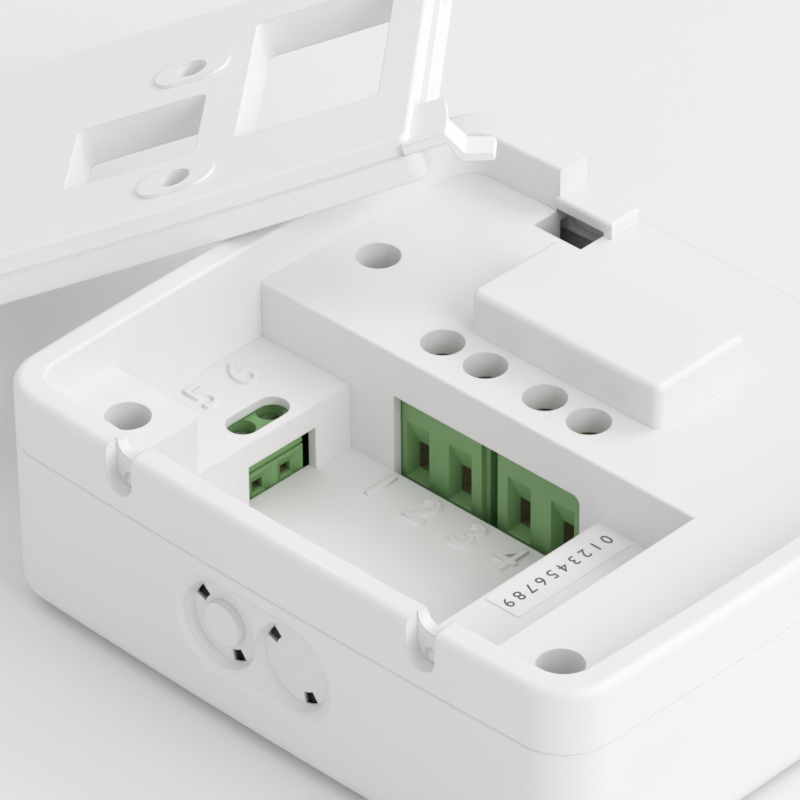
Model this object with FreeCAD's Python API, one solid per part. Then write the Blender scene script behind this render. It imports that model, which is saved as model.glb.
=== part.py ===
"""Thermostat receiver, lying on its front face with its wall plate taken off.

Millimetres. The origin is the middle of the front face, which rests on the table. +X runs along
the side with the two cable knockouts, +Y runs away from that side, and +Z points to the back.
"""
import FreeCAD, Part
import math
import os

Vector = FreeCAD.Vector
Rotation = FreeCAD.Rotation
Placement = FreeCAD.Placement

# Case, both shells together
CASE_W = 100.0
CASE_L = 90.0
CASE_H = 33.5
BOW_LONG = 0.9
BOW_SHORT = 1.1
CORNER_R = 7.0
WALL = 2.2
FRONT_WALL = 2.0
FRONT_EDGE_R = 4.0
PARTING_Z = 24.3
PARTING_CHAMFER = 0.2
LIP_T = 1.0
LIP_H = 1.6
LIP_GAP = 0.15
BLANK_GAP = 0.35

# Back: rim, deck and its steps
RIM_SIDE_T = 3.9
RIM_NEAR_T = 3.7
RIM_FAR_T = 5.5
RIM_EDGE_R = 1.2
RIM_INNER_EDGE_R = 0.5
TRAY_CORNER_R = 4.0
RIM_GAP_W = 58.4
RIM_GAP_CORNER_R = 1.0
DECK_Z = 27.0
DECK_T = 1.8
DECK_EDGE_R = 0.35

# Wiring recess, the step with the bus terminal, and the label ledge
MOULD_T = 1.3
RECESS_X0 = -30.0
RECESS_X1 = 28.9
RECESS_Y0 = -38.8
RECESS_Y1 = 0.3
RECESS_FLOOR_Z = 8.55
STEP_Z = 18.5
STEP_Y0 = -25.8
POST_R = 2.4
LEDGE_X0 = 13.4
LABEL_W = 5.8
LABEL_L = 20.4
LABEL_T = 0.15
LABEL_INSET = 0.5

# Windows for the terminals
MAIN_WINDOW_X0 = -22.2
MAIN_WINDOW_X1 = 10.1
MAIN_WINDOW_TOP_Z = 20.45
MAIN_WINDOW_R = 1.2
BUS_WINDOW_Y0 = -18.3
BUS_WINDOW_Y1 = -6.2
BUS_WINDOW_TOP_Z = 15.0
BUS_SLOT_X = -33.8
BUS_SLOT_Y = -12.8
BUS_SLOT_L = 9.8
BUS_SLOT_W = 4.6
ACCESS_D = 5.8
ACCESS_TUBE_D = 8.2
ACCESS_TUBE_Z = 23.2

# Relay block on the deck
BLOCK_WALL = 1.4
RELAY_SIDE_GAP = 0.35
RELAY_NEAR_GAP = 0.6
RELAY_FAR_GAP = 0.5
RELAY_TOP_GAP = 0.7
BLOCK_SIDE_R = 1.2
BLOCK_TOP_R = 0.9

# Hook slots and the bridges that the plate's hooks go under
SLOT_X0 = 21.0
SLOT_X1 = 29.4
SLOT_Y0 = 34.3
SLOT_Y1 = 43.4
BRIDGE_X0 = 19.6
BRIDGE_Y0 = 38.7
BRIDGE_Y1 = 44.2
BRIDGE_TOP_Z = 29.3
BRIDGE_T = 1.7
SLOT_RIB_T = 1.2
SLOT_RIB_Z = 21.6
SLOT_RIB_Y1 = 39.5
BRIDGE_EDGE_R = 0.5

# Latch notches in the near rim
NOTCH_X = 25.7
NOTCH_TROUGH_R = 2.2
NOTCH_CHANNEL_W = 4.6
NOTCH_CHANNEL_DEPTH = 2.0
NOTCH_CHANNEL_BELOW_RIM = 6.45
NOTCH_HOLE_R = 1.0
NOTCH_HOLE_BELOW_RIM = 5.35

# Case screws, in wells that reach down to the bosses of the front cover
CASE_SCREW_FAR = (39.2, 15.1)
CASE_SCREW_NEAR = (37.0, -32.4)
WELL_D = 6.0
WELL_T = 1.2
WELL_BOTTOM_Z = 13.0
WELL_BOTTOM_T = 1.6
WELL_HOLE_D = 3.4
BOSS_D = 7.5
CASE_SCREW_D = 2.8
CASE_SCREW_HEAD_D = 5.2
CASE_SCREW_HEAD_H = 2.0
CASE_SCREW_L = 10.5
CASE_SCREW_CROSS = 3.0
PILOT_GAP = 0.05

# Knockouts in the near side: a shallow oblong hollow, a round hollow each, and a thin floor
KNOCKOUT_X = (-9.0, 3.4)
KNOCKOUT_Z = 15.1
KNOCKOUT_PAD_R = 7.4
KNOCKOUT_PAD_FLOOR_R = 6.4
KNOCKOUT_PAD_DEPTH = 0.8
KNOCKOUT_R = 6.1
KNOCKOUT_FLOOR_R = 5.6
KNOCKOUT_DEPTH = 2.0
KNOCKOUT_FLOOR_T = 0.8
KNOCKOUT_KNOB_R = (3.1, 0.0)
KNOCKOUT_KNOB_H = 1.0
KNOCKOUT_GAP_R = (3.9, 5.5)
KNOCKOUT_GAP_ANGLE = 24.0
KNOCKOUT_GAP_EDGE_T = 0.25
KNOCKOUT_GAP_GROW = 0.5
KNOCKOUT_GAP_AT = (148.0, -65.0)
THICKENING_EDGE = 0.8
THICKENING_Z0 = 8.9
CABLE_PANEL_T = 0.6

# Circuit board
BOARD_W = 91.0
BOARD_L = 81.0
BOARD_T = 1.6
BOARD_TOP_Z = 6.0
BOARD_CORNER_R = 5.0
BOARD_BOSS_GAP = 0.6
BOARD_SCREW_AT = ((-42.5, -20.0), (42.0, -20.0), (42.0, 30.0), (-42.5, 4.0))
BOARD_SCREW_D = 2.2
BOARD_SCREW_HEAD_D = 4.2
BOARD_SCREW_HEAD_H = 0.9
BOARD_POST_D = 5.0
BOARD_HOLE_GAP = 0.2

# Push button and lights in the front wall
BUTTON_AT = (0.0, -16.0)
BUTTON_D = 12.0
BUTTON_GAP = 0.3
BUTTON_SINK = 0.3
BUTTON_FLANGE_D = 15.0
BUTTON_FLANGE_T = 0.6
BUTTON_TRAVEL = 0.3
SWITCH_W = 6.0
SWITCH_H = 1.2
PLUNGER_D = 3.2
PLUNGER_DEPTH = 0.4
LIGHT_AT = ((-6.0, 4.0), (6.0, 4.0))
LIGHT_D = 3.0
LIGHT_FLANGE_D = 4.4
LED_W = 2.8
LED_L = 1.8
LED_H = 0.9

# Parts on the back side of the board
RELAY_AT = (-2.55, 19.1)
RELAY_W = 28.8
RELAY_L = 12.6
RELAY_H = 25.3
RELAY_EDGE_R = 0.6
RELAY_PIN_INSET = 2.5
PIN_D = 0.9
PIN_HOLE_GAP = 0.15
PIN_STICK_OUT = 0.9
TRANSFORMER_AT = (-30.0, 26.0)
TRANSFORMER_CORE = (13.0, 12.0, 11.0)
TRANSFORMER_LEG = 3.0
BOBBIN_CHEEK = 1.0
CAPACITOR_AT = ((-29.5, 9.0), (-42.0, 27.0))
CAPACITOR_D = 8.0
CAPACITOR_H = 12.0
CAPACITOR_LEADS = 3.6
FILTER_AT = (22.5, 6.5)
FILTER_SIZE = (18.0, 6.0, 12.0)
FILTER_LEADS = 14.4
VARISTOR_AT = (20.5, 14.5)
VARISTOR_D = 9.0
VARISTOR_T = 3.6
VARISTOR_LEADS = 5.0
VARISTOR_RISE = 0.5
FUSE_AT = (29.8, 15.0)
FUSE_D = 8.4
FUSE_H = 8.0
FUSE_LEADS = 5.0
RECTIFIER_AT = (21.5, 23.0)
RECTIFIER_SIZE = (8.2, 6.4, 2.8)
PROCESSOR_AT = (29.0, 33.5)
PROCESSOR_SIZE = (10.0, 10.0, 1.4)
CRYSTAL_AT = (17.0, 34.5)
CRYSTAL_SIZE = (10.2, 3.8, 3.4)
RADIO_AT = (41.0, -3.0)
RADIO_BOARD = (1.0, 22.0, 15.0)
SHIELD_SIZE = (2.2, 12.0, 9.0)
SHIELD_RISE = 3.0
ANTENNA_WIRE_D = 0.8
ANTENNA_BOARD_GAP = 1.0
ANTENNA_H = 17.5
ANTENNA_L = 24.0
SEAT_GAP = 0.05

# Screw terminals. y is measured into the block from its front, z from the board
MAIN = dict(pitch=7.5, poles=2, depth=10.4, height=16.8, mouth_w=4.0, mouth_z=(1.4, 10.3),
            hole_w=2.9, hole_z=(2.2, 6.4), funnel=1.75, screw_y=4.7, screw_d=2.9, head_d=4.4,
            head_h=1.6, shoulder_z=12.6, web=1.1, cage_w=4.6, cage_y=4.8, cage_z=(1.1, 8.7),
            cage_side=0.7, cage_floor=0.9, cage_top=1.9, strip_t=0.8, travel=2.5, thread=0.5,
            slope=0.0, slope_z=0.0, slot_w=0.8, side_gap=0.3, rib=0.8)
BUS = dict(pitch=5.08, poles=2, depth=8.2, height=10.9, mouth_w=4.2, mouth_z=(1.2, 5.6),
           hole_w=1.8, hole_z=(2.35, 4.0), funnel=0.8, screw_y=3.3, screw_d=1.9, head_d=3.2,
           head_h=1.1, shoulder_z=8.3, web=0.7, cage_w=3.4, cage_y=3.4, cage_z=(1.7, 6.3),
           cage_side=0.5, cage_floor=0.6, cage_top=1.3, strip_t=0.5, travel=1.2, thread=0.4,
           slope=1.2, slope_z=6.6, slot_w=0.6, side_gap=0.25, rib=0.0)
MAIN_FRONT_Y = 1.8
MAIN_CENTRE_X = (-15.65, 2.15)
BUS_FRONT_X = -31.6
BUS_CENTRE_Y = -12.1
STRIP_SIDE_GAP = 0.35
RIB_GROOVE = 0.5
BLOCK_GROOVE = 0.4

# Wall plate, in its own frame: top towards the wall, +Y to the end with the hooks
PLATE_W = 58.4
PLATE_L = 75.3
PLATE_H = 6.4
PLATE_BOW = 0.8
PLATE_R = 2.0
SHEET_T = 2.2
SKIRT_T = 1.8
SKIRT_STEP = 0.7
SKIRT_STEP_Z = 2.6
PLATE_EDGE_R = 0.5
COLLAR_T = 1.3
COLLAR_H = 5.4
WINDOWS = ((-2.5, 14.4, -12.4, 6.3), (-19.6, 13.8, 11.8, 32.0))
WINDOW_R = 1.2
WALL_SCREW_AT = ((-10.7, 3.4), (21.1, 4.4))
WALL_SCREW_D = 4.2
PAD_L = 10.7
PAD_W = 6.6
PAD_H = 0.4
PAD_BELOW = 4.0
TAB_X0 = 17.7
TAB_TOP = 1.15
TAB_T = 1.4
TAB_L = 4.1
TAB_CORNER = 0.7
HOOK_X0 = 23.5
HOOK_LEAN = 1.6
HOOK_T = 1.2
HOOK_BEND = 0.7
HOOK_R = 0.5
TONGUE_TOP = 4.7
TONGUE_DIP = 1.1
TONGUE_T = 1.0
TONGUE_L = 9.05
LATCH_D = 1.4
LATCH_REACH = 0.7
PLATE_AT = (-76.588, 12.135)
PLATE_ABOVE_RIM = 0.325
PLATE_YAW = -48.2
PLATE_PITCH = 20.2
PLATE_ROLL = -5.4

# Values that follow from the ones above
HALF_W = CASE_W / 2
HALF_L = CASE_L / 2
BOARD_BOTTOM_Z = BOARD_TOP_Z - BOARD_T
TRAY_X = HALF_W - RIM_SIDE_T
TRAY_Y0 = -HALF_L + RIM_NEAR_T
TRAY_Y1 = HALF_L - RIM_FAR_T
BLOCK_X0 = RELAY_AT[0] - RELAY_W / 2 - RELAY_SIDE_GAP - BLOCK_WALL
BLOCK_X1 = RELAY_AT[0] + RELAY_W / 2 + RELAY_SIDE_GAP + BLOCK_WALL
BLOCK_Y0 = RELAY_AT[1] - RELAY_L / 2 - RELAY_NEAR_GAP - BLOCK_WALL
BLOCK_Y1 = RELAY_AT[1] + RELAY_L / 2 + RELAY_FAR_GAP + BLOCK_WALL
BLOCK_TOP_Z = BOARD_TOP_Z + RELAY_H + RELAY_TOP_GAP + BLOCK_WALL
NOTCH_CHANNEL_Z = CASE_H - NOTCH_CHANNEL_BELOW_RIM
NOTCH_HOLE_Z = CASE_H - NOTCH_HOLE_BELOW_RIM
CASE_SCREWS = [(side * x, y) for x, y in (CASE_SCREW_FAR, CASE_SCREW_NEAR) for side in (-1, 1)]
OVER = 2.0


def box(x0, x1, y0, y1, z0, z1):
    """A box between two corners."""
    return Part.makeBox(x1 - x0, y1 - y0, z1 - z0, Vector(x0, y0, z0))


def centred_box(at, size, z0):
    """A box of the given size standing at z0, centred on a place in plan."""
    return box(at[0] - size[0] / 2, at[0] + size[0] / 2,
               at[1] - size[1] / 2, at[1] + size[1] / 2, z0, z0 + size[2])


def rod(x, y, z0, z1, diameter):
    """An upright cylinder."""
    return Part.makeCylinder(diameter / 2, z1 - z0, Vector(x, y, z0))


def rod_y(x, z, y0, y1, diameter):
    """A cylinder along Y."""
    return Part.makeCylinder(diameter / 2, y1 - y0, Vector(x, y0, z), Vector(0, 1, 0))


def upright_edges(shape):
    """The straight edges of a shape that run along Z."""
    found = []
    for edge in shape.Edges:
        if len(edge.Vertexes) == 2:
            a, b = edge.Vertexes[0].Point, edge.Vertexes[1].Point
            if math.hypot(a.x - b.x, a.y - b.y) < 1e-6 and abs(a.z - b.z) > 1e-6:
                found.append(edge)
    return found


def level_edges(shape, z):
    """The edges of a shape that lie at one height."""
    return [e for e in shape.Edges
            if abs(e.BoundBox.ZMin - z) < 1e-5 and abs(e.BoundBox.ZMax - z) < 1e-5]


def bowed_prism(x0, x1, y0, y1, bow_x, bow_y, radius, z0, z1):
    """An upright block whose four sides bulge, with rounded corners."""
    corners = [Vector(x0 + bow_x, y0 + bow_y, z0), Vector(x1 - bow_x, y0 + bow_y, z0),
               Vector(x1 - bow_x, y1 - bow_y, z0), Vector(x0 + bow_x, y1 - bow_y, z0)]
    mid_x, mid_y = (x0 + x1) / 2, (y0 + y1) / 2
    middles = [Vector(mid_x, y0, z0), Vector(x1, mid_y, z0), Vector(mid_x, y1, z0),
               Vector(x0, mid_y, z0)]
    edges = []
    for i in range(4):
        a, b = corners[i], corners[(i + 1) % 4]
        bowed = bow_y if i % 2 == 0 else bow_x
        edges.append(Part.Arc(a, middles[i], b).toShape() if bowed else Part.makeLine(a, b))
    solid = Part.Face(Part.Wire(edges)).extrude(Vector(0, 0, z1 - z0))
    return solid.makeFillet(radius, upright_edges(solid))


def case_prism(inset, radius, z0, z1):
    """The outline of the case, set in by a wall's thickness."""
    return bowed_prism(-HALF_W + inset, HALF_W - inset, -HALF_L + inset, HALF_L - inset,
                       BOW_SHORT, BOW_LONG, radius, z0, z1)


def fuse(shapes):
    """One solid from several that touch."""
    return shapes[0].multiFuse(shapes[1:]).removeSplitter()


def rounded_box(x0, x1, y0, y1, z0, z1, radius):
    """A box with rounded upright edges."""
    solid = box(x0, x1, y0, y1, z0, z1)
    return solid.makeFillet(radius, upright_edges(solid))


def stadium(x, y, length, width, z0, z1):
    """A slot-shaped block along Y."""
    reach = (length - width) / 2
    return fuse([box(x - width / 2, x + width / 2, y - reach, y + reach, z0, z1),
                 rod(x, y - reach, z0, z1, width), rod(x, y + reach, z0, z1, width)])


def frustum(front, back, y0, y1):
    """A four-sided funnel along Y between two rectangles given as (x0, x1, z0, z1)."""
    wires = []
    for (x0, x1, z0, z1), y in ((front, y0), (back, y1)):
        wires.append(Part.makePolygon([Vector(x0, y, z0), Vector(x1, y, z0), Vector(x1, y, z1),
                                       Vector(x0, y, z1), Vector(x0, y, z0)]))
    return Part.makeLoft(wires, True, True)


def tray_prism(z0, z1):
    """The space inside the rim, between two heights."""
    return bowed_prism(-TRAY_X, TRAY_X, TRAY_Y0, TRAY_Y1, BOW_SHORT, BOW_LONG, TRAY_CORNER_R,
                       z0, z1)


def rim_and_deck():
    """The upper shell with its rim and flat deck, open below."""
    shell = case_prism(0, CORNER_R, PARTING_Z, CASE_H)
    shell = shell.makeFillet(RIM_EDGE_R, level_edges(shell, CASE_H))
    shell = shell.makeChamfer(PARTING_CHAMFER, level_edges(shell, PARTING_Z))
    shell = shell.cut(tray_prism(DECK_Z, CASE_H + OVER))
    top_inner = [e for e in level_edges(shell, CASE_H) if e.BoundBox.XMin > -TRAY_X - 0.1
                 and e.BoundBox.XMax < TRAY_X + 0.1 and e.BoundBox.YMin > TRAY_Y0 - 0.1
                 and e.BoundBox.YMax < TRAY_Y1 + 0.1]
    shell = shell.makeFillet(RIM_INNER_EDGE_R, top_inner)
    gap = rounded_box(-RIM_GAP_W / 2, RIM_GAP_W / 2, TRAY_Y1 - OVER, HALF_L + OVER, DECK_Z,
                      CASE_H + OVER, RIM_GAP_CORNER_R)
    shell = shell.cut(gap)
    under = case_prism(WALL, CORNER_R - WALL, PARTING_Z - OVER, DECK_Z - DECK_T)
    return shell.cut(under)


def tongue_ring():
    """The ring below the parting line that goes inside the front cover."""
    outer = case_prism(WALL + LIP_GAP, CORNER_R - WALL, PARTING_Z - LIP_H, PARTING_Z)
    inner = case_prism(WALL + LIP_GAP + LIP_T, CORNER_R - WALL - LIP_T,
                       PARTING_Z - LIP_H - OVER, PARTING_Z + OVER)
    root_outer = case_prism(WALL - LIP_T, CORNER_R - WALL, PARTING_Z, PARTING_Z + LIP_T)
    return outer.cut(inner), root_outer.cut(inner)


def recess_blanks():
    """The walls of the wiring recess, the bus step and the label ledge, before hollowing."""
    under_deck = DECK_Z - DECK_T / 2
    tub = box(RECESS_X0 - MOULD_T, LEDGE_X0 + MOULD_T, RECESS_Y0 - MOULD_T, RECESS_Y1 + MOULD_T,
              RECESS_FLOOR_Z - MOULD_T, under_deck)
    ledge = box(LEDGE_X0, RECESS_X1 + MOULD_T, -HALF_L, RECESS_Y1 + MOULD_T,
                STEP_Z - MOULD_T, under_deck)
    step = box(-HALF_W, RECESS_X0, STEP_Y0 - MOULD_T, RECESS_Y1 + MOULD_T,
               STEP_Z - MOULD_T, under_deck)
    inside = case_prism(WALL + BLANK_GAP, CORNER_R - WALL - BLANK_GAP, 0, CASE_H)
    return [blank.common(inside) for blank in (tub, ledge, step)]


def recess_hollows():
    """The spaces of the wiring recess, above the ledge and above the bus step."""
    top = DECK_Z + OVER
    tub = box(RECESS_X0, LEDGE_X0, RECESS_Y0, RECESS_Y1, RECESS_FLOOR_Z, top)
    ledge = box(LEDGE_X0, RECESS_X1, -HALF_L, RECESS_Y1, STEP_Z, top)
    step = box(-HALF_W, RECESS_X0, STEP_Y0, RECESS_Y1, STEP_Z, top)
    notch = box(RECESS_X0 - POST_R, RECESS_X0, STEP_Y0 - POST_R, STEP_Y0, STEP_Z, top)
    round_post = rod(RECESS_X0 - POST_R, STEP_Y0 - POST_R, STEP_Z - OVER, top + OVER, 2 * POST_R)
    tray = tray_prism(0, top)
    return [hollow.common(tray) for hollow in (tub, ledge, step, notch.cut(round_post))]


def window_cuts():
    """The openings that the wires and the screwdriver reach the terminals through."""
    main = box(MAIN_WINDOW_X0, MAIN_WINDOW_X1, RECESS_Y1 - OVER / 4, RECESS_Y1 + MOULD_T + OVER,
               RECESS_FLOOR_Z - MOULD_T - OVER, MAIN_WINDOW_TOP_Z)
    corner = [e for e in main.Edges if abs(e.BoundBox.XMin - MAIN_WINDOW_X1) < 1e-6
              and abs(e.BoundBox.ZMin - MAIN_WINDOW_TOP_Z) < 1e-6 and e.BoundBox.YLength > 1]
    main = main.makeFillet(MAIN_WINDOW_R, corner)
    floor_left = box(MAIN_WINDOW_X0, MAIN_WINDOW_X1, RECESS_Y1 - OVER, RECESS_Y1,
                     RECESS_FLOOR_Z - MOULD_T - 2 * OVER, RECESS_FLOOR_Z)
    main = main.cut(floor_left)
    bus = box(RECESS_X0 - MOULD_T - OVER, RECESS_X0 + OVER / 4, BUS_WINDOW_Y0, BUS_WINDOW_Y1,
              RECESS_FLOOR_Z, BUS_WINDOW_TOP_Z)
    slot = stadium(BUS_SLOT_X, BUS_SLOT_Y, BUS_SLOT_L, BUS_SLOT_W, STEP_Z - MOULD_T - OVER / 2,
                   STEP_Z + OVER)
    access = [rod(x, MAIN_FRONT_Y + MAIN["screw_y"], ACCESS_TUBE_Z - OVER, DECK_Z + OVER,
                  ACCESS_D) for x in main_pole_places()]
    return [main, bus, slot] + access


def main_pole_places():
    """The four pole centres of the two large terminals, along X."""
    reach = MAIN["pitch"] / 2
    return [x + side * reach for x in MAIN_CENTRE_X for side in (-1, 1)]


def relay_cover():
    """The hollow block that makes room for the relay, and its hollow."""
    outer = rounded_box(BLOCK_X0, BLOCK_X1, BLOCK_Y0, BLOCK_Y1, DECK_Z - DECK_T / 2, BLOCK_TOP_Z,
                        BLOCK_SIDE_R)
    outer = outer.makeFillet(BLOCK_TOP_R, level_edges(outer, BLOCK_TOP_Z))
    inner = box(BLOCK_X0 + BLOCK_WALL, BLOCK_X1 - BLOCK_WALL, BLOCK_Y0 + BLOCK_WALL,
                BLOCK_Y1 - BLOCK_WALL, DECK_Z - DECK_T - OVER, BLOCK_TOP_Z - BLOCK_WALL)
    return outer, inner


def hook_catch(side):
    """One bridge that a hook goes under, and the slot below it, on the left or the right."""
    x0, x1 = sorted((side * BRIDGE_X0, side * (RIM_GAP_W / 2 + OVER / 4)))
    bridge = box(x0, x1, BRIDGE_Y0, BRIDGE_Y1, DECK_Z - DECK_T / 2, BRIDGE_TOP_Z)
    bridge = bridge.makeFillet(BRIDGE_EDGE_R, level_edges(bridge, BRIDGE_TOP_Z))
    x0, x1 = sorted((side * SLOT_X0, side * SLOT_X1))
    slot = box(x0, x1, SLOT_Y0, SLOT_Y1, DECK_Z - DECK_T - OVER, DECK_Z + OVER / 4)
    keep = box(x0 - OVER, x1 + OVER, BRIDGE_Y0, BRIDGE_Y1, BRIDGE_TOP_Z - BRIDGE_T,
               BRIDGE_TOP_Z)
    return bridge, slot.cut(keep)


def slot_rib(side):
    """The rib below the deck along the outer side of a hook slot."""
    x0, x1 = sorted((side * (SLOT_X1 + SLOT_RIB_T), side * SLOT_X1))
    return box(x0, x1, SLOT_Y0 - SLOT_RIB_T, SLOT_RIB_Y1, SLOT_RIB_Z, DECK_Z - DECK_T / 2)


def latch_notch(side):
    """The cuts of one latch notch in the near rim."""
    x = side * NOTCH_X
    bow = BOW_LONG * (NOTCH_X / HALF_W) ** 2
    face_y = -HALF_L + bow
    trough = rod_y(x, CASE_H, -HALF_L - OVER, TRAY_Y0 + OVER, 2 * NOTCH_TROUGH_R)
    back_y = face_y + NOTCH_CHANNEL_DEPTH
    half = NOTCH_CHANNEL_W / 2
    base_z = NOTCH_CHANNEL_Z + half
    channel = fuse([box(x - half, x + half, -HALF_L - OVER, back_y, base_z, CASE_H + OVER),
                    rod_y(x, base_z, -HALF_L - OVER, back_y, NOTCH_CHANNEL_W)])
    hole = rod_y(x, NOTCH_HOLE_Z, -HALF_L - OVER, TRAY_Y0 + OVER, 2 * NOTCH_HOLE_R)
    return [trough, channel, hole]


def build_rear_housing():
    """The upper shell: one moulding with rim, deck, recess, relay cover and screw wells."""
    ring, ring_root = tongue_ring()
    cover, cover_hollow = relay_cover()
    solids = [rim_and_deck(), ring, ring_root, cover] + recess_blanks()
    for x, y in CASE_SCREWS:
        solids.append(rod(x, y, WELL_BOTTOM_Z, DECK_Z - DECK_T / 2, WELL_D + 2 * WELL_T))
    for x in main_pole_places():
        solids.append(rod(x, MAIN_FRONT_Y + MAIN["screw_y"], ACCESS_TUBE_Z, DECK_Z - DECK_T / 2,
                          ACCESS_TUBE_D))
    cuts = window_cuts() + [cover_hollow, cable_panel_pocket()]
    for x, y in CASE_SCREWS:
        cuts.append(rod(x, y, WELL_BOTTOM_Z + WELL_BOTTOM_T, DECK_Z + OVER, WELL_D))
        cuts.append(rod(x, y, WELL_BOTTOM_Z - OVER, DECK_Z, WELL_HOLE_D))
    for side in (-1, 1):
        bridge, slot = hook_catch(side)
        solids += [bridge, slot_rib(side)]
        cuts.append(slot)
        cuts += latch_notch(side)
    housing = fuse(solids).cut(fuse(recess_hollows()))
    for cut in cuts:
        housing = housing.cut(cut)
    return soften_deck_edges(housing.removeSplitter())


def soften_deck_edges(housing):
    """Small rounds on the long edges where the deck steps down."""
    chosen = []
    for edge in level_edges(housing, DECK_Z):
        b = edge.BoundBox
        along_front = abs(b.YMin - RECESS_Y1) < 1e-4 and b.YLength < 1e-4
        along_right = (abs(b.XMin - RECESS_X1) < 1e-4 and b.XLength < 1e-4
                       and b.YMin > TRAY_Y0)
        if along_front or along_right:
            chosen.append(edge)
    return housing.makeFillet(DECK_EDGE_R, chosen)


def cone_y(x, z, y0, y1, r0, r1):
    """A cone along Y from one radius to another."""
    return Part.makeCone(r0, r1, y1 - y0, Vector(x, y0, z), Vector(0, 1, 0))


def knockout_cuts():
    """The oblong hollow in the near side with its two round hollows and their gaps."""
    face_y = -HALF_L
    floor_y = face_y + KNOCKOUT_PAD_DEPTH
    slope = (KNOCKOUT_PAD_R - KNOCKOUT_PAD_FLOOR_R) / KNOCKOUT_PAD_DEPTH
    far_r = KNOCKOUT_PAD_R + slope * OVER
    x0, x1 = KNOCKOUT_X
    profile = [(face_y - OVER, far_r), (floor_y, KNOCKOUT_PAD_FLOOR_R),
               (floor_y, -KNOCKOUT_PAD_FLOOR_R), (face_y - OVER, -far_r)]
    corners = [Vector(x0, y, KNOCKOUT_Z + z) for y, z in profile]
    middle = Part.Face(Part.makePolygon(corners + corners[:1])).extrude(Vector(x1 - x0, 0, 0))
    cuts = [fuse([middle] + [cone_y(x, KNOCKOUT_Z, face_y - OVER, floor_y, far_r,
                                    KNOCKOUT_PAD_FLOOR_R) for x in KNOCKOUT_X])]
    back_y = face_y + KNOCKOUT_DEPTH
    for x, knob_r in zip(KNOCKOUT_X, KNOCKOUT_KNOB_R):
        hollow = fuse([rod_y(x, KNOCKOUT_Z, face_y, floor_y, 2 * KNOCKOUT_R),
                       cone_y(x, KNOCKOUT_Z, floor_y, back_y, KNOCKOUT_R, KNOCKOUT_FLOOR_R)])
        if knob_r:
            hollow = hollow.cut(rod_y(x, KNOCKOUT_Z, back_y - KNOCKOUT_KNOB_H, back_y + OVER,
                                      2 * knob_r))
        cuts.append(hollow)
        for angle in KNOCKOUT_GAP_AT:
            cuts.append(ring_sector(x, back_y - OVER / 4, 0, angle))
            cuts.append(ring_sector(x, back_y + KNOCKOUT_GAP_EDGE_T, KNOCKOUT_GAP_GROW, angle))
    return cuts


def ring_sector(x, start, grow, middle):
    """A piece of ring through a thin floor, open where the disc can be broken out."""
    inner, outer = KNOCKOUT_GAP_R
    inner, outer = inner - grow, outer + grow
    depth = KNOCKOUT_FLOOR_T + OVER
    angle = KNOCKOUT_GAP_ANGLE + math.degrees(2 * grow / outer)
    sector = Part.makeCylinder(outer, depth, Vector(x, start, KNOCKOUT_Z), Vector(0, 1, 0), angle)
    core = rod_y(x, KNOCKOUT_Z, start - OVER, start + depth + OVER, 2 * inner)
    sector = sector.cut(core).Solids[0]
    centre = sector.CenterOfMass
    now = math.degrees(math.atan2(centre.z - KNOCKOUT_Z, centre.x - x))
    sector.rotate(Vector(x, 0, KNOCKOUT_Z), Vector(0, 1, 0), now - middle)
    return sector


def knockout_thickening():
    """The block inside the near wall that backs the round hollows."""
    edge = KNOCKOUT_R + THICKENING_EDGE
    x0, x1 = KNOCKOUT_X
    inner_y = -HALF_L + KNOCKOUT_DEPTH + KNOCKOUT_FLOOR_T
    return box(x0 - edge, x1 + edge, -HALF_L + WALL, inner_y, THICKENING_Z0, KNOCKOUT_Z + edge)


def cable_panel_pocket():
    """The pocket that leaves a thin panel in the recess's near wall, behind the knockouts."""
    edge = KNOCKOUT_R + THICKENING_EDGE
    x0, x1 = KNOCKOUT_X
    return box(x0 - edge, x1 + edge, RECESS_Y0 - MOULD_T - OVER / 4, RECESS_Y0 - CABLE_PANEL_T,
               RECESS_FLOOR_Z, KNOCKOUT_Z + edge)


def build_front_cover():
    """The lower shell: front wall, sides, screw bosses, board posts and knockouts."""
    shell = case_prism(0, CORNER_R, 0, PARTING_Z)
    shell = shell.makeFillet(FRONT_EDGE_R, level_edges(shell, 0))
    shell = shell.makeChamfer(PARTING_CHAMFER, level_edges(shell, PARTING_Z))
    hollow = case_prism(WALL, CORNER_R - WALL, FRONT_WALL, PARTING_Z + OVER)
    hollow = hollow.makeFillet(FRONT_EDGE_R - WALL, level_edges(hollow, FRONT_WALL))
    shell = shell.cut(hollow)
    solids = [shell, knockout_thickening()]
    cuts = knockout_cuts()
    for x, y in CASE_SCREWS:
        solids.append(rod(x, y, FRONT_WALL / 2, WELL_BOTTOM_Z, BOSS_D))
        cuts.append(rod(x, y, FRONT_WALL, WELL_BOTTOM_Z + OVER, CASE_SCREW_D + 2 * PILOT_GAP))
    for x, y in BOARD_SCREW_AT:
        solids.append(rod(x, y, FRONT_WALL / 2, BOARD_BOTTOM_Z, BOARD_POST_D))
        cuts.append(rod(x, y, FRONT_WALL / 2, BOARD_BOTTOM_Z + OVER,
                        BOARD_SCREW_D + 2 * PILOT_GAP))
    cuts.append(rod(*BUTTON_AT, -OVER, FRONT_WALL + OVER, BUTTON_D + 2 * BUTTON_GAP))
    for x, y in LIGHT_AT:
        cuts.append(rod(x, y, -OVER, FRONT_WALL + OVER, LIGHT_D + 2 * SEAT_GAP))
    return fuse(solids).cut(Part.makeCompound(cuts)).removeSplitter()


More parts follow.
